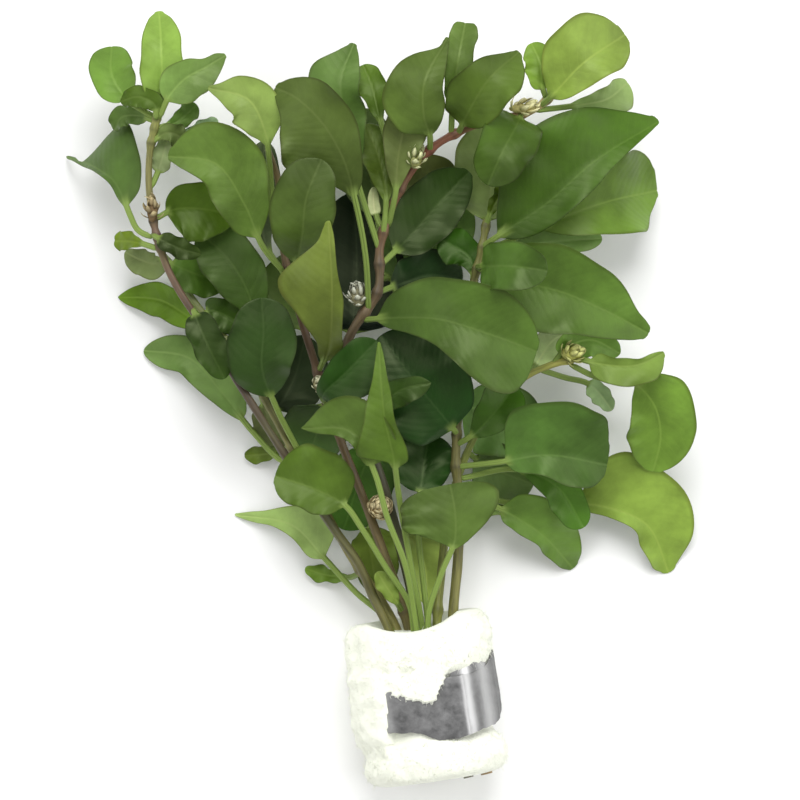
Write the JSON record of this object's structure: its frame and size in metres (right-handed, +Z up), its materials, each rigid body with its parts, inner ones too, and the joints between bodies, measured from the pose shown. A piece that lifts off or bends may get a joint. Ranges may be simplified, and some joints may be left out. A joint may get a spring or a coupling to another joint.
{
  "type": "aquarium plant bunch",
  "caption": "Bunch of leafy aquarium plant cuttings lying on its side, the cut stem ends wrapped in a roll of white wool held by a soft metal strip.",
  "frame": {"origin": "middle of the bunch's outline seen from above, on the surface that it lies on, at z = 0", "axes": "+Y from the wool roll towards the shoot tips, +Z up from the surface, +X to the right with the shoot tips away from the viewer"},
  "size_m": [0.1584, 0.1942, 0.0525],
  "materials": {
    "leaf_green": "satin",
    "leaf_dark": "satin",
    "leaf_bright": "satin",
    "leaf_underside": "matt",
    "stem_brown": "matt",
    "stem_tan": "matt",
    "wool_white": "fibrous",
    "lead_grey": "dull"
  },
  "bodies": {
    "root": {"lead_strip": "lead_grey", "leaf_centre_back": "leaf_dark", "leaf_centre_dark": "leaf_dark", "leaf_centre_large": "leaf_green", "leaf_centre_low": "leaf_dark", "leaf_centre_olive": "leaf_dark", "leaf_centre_round": "leaf_green", "leaf_corner_bright": "leaf_bright", "leaf_corner_under": "leaf_underside", "leaf_crown_dull": "leaf_dark", "leaf_crown_left": "leaf_green", "leaf_crown_pale": "leaf_underside", "leaf_crown_right": "leaf_green", "leaf_left_back": "leaf_underside", "leaf_left_broad": "leaf_green", "leaf_left_curl": "leaf_dark", "leaf_left_dull": "leaf_dark", "leaf_left_mid": "leaf_dark", "leaf_left_point": "leaf_green", "leaf_left_round": "leaf_green", "leaf_left_shade": "leaf_dark", "leaf_left_tip": "leaf_bright", "leaf_left_under": "leaf_dark", "leaf_low_centre": "leaf_green", "leaf_low_left_broad": "leaf_green", "leaf_low_left_point": "leaf_green", "leaf_low_pale": "leaf_underside", "leaf_low_right": "leaf_green", "leaf_low_right_bright": "leaf_bright", "leaf_low_round": "leaf_green", "leaf_middle_dark": "leaf_dark", "leaf_middle_folded": "leaf_bright", "leaf_middle_inner": "leaf_green", "leaf_middle_low": "leaf_green", "leaf_middle_obovate": "leaf_green", "leaf_middle_olive": "leaf_dark", "leaf_middle_strip": "leaf_dark", "leaf_middle_yellow": "leaf_bright", "leaf_right_back": "leaf_dark", "leaf_right_band": "leaf_dark", "leaf_right_fold": "leaf_green", "leaf_right_large": "leaf_green", "leaf_right_lobe": "leaf_green", "leaf_right_wide": "leaf_green", "leaf_side_dark": "leaf_dark", "leaf_side_round": "leaf_green", "leaf_side_under": "leaf_dark", "leaf_side_yellow": "leaf_bright", "leaf_top_back": "leaf_green", "leaf_top_bright": "leaf_bright", "leaf_top_folded": "leaf_green", "leaf_top_small": "leaf_green", "stem_left": "stem_brown", "stem_left_lower": "stem_tan", "stem_middle": "stem_brown", "stem_right": "stem_brown", "stem_right_side": "stem_tan", "stem_tall": "stem_brown", "wool_wrap": "wool_white"}
  },
  "joints": []
}
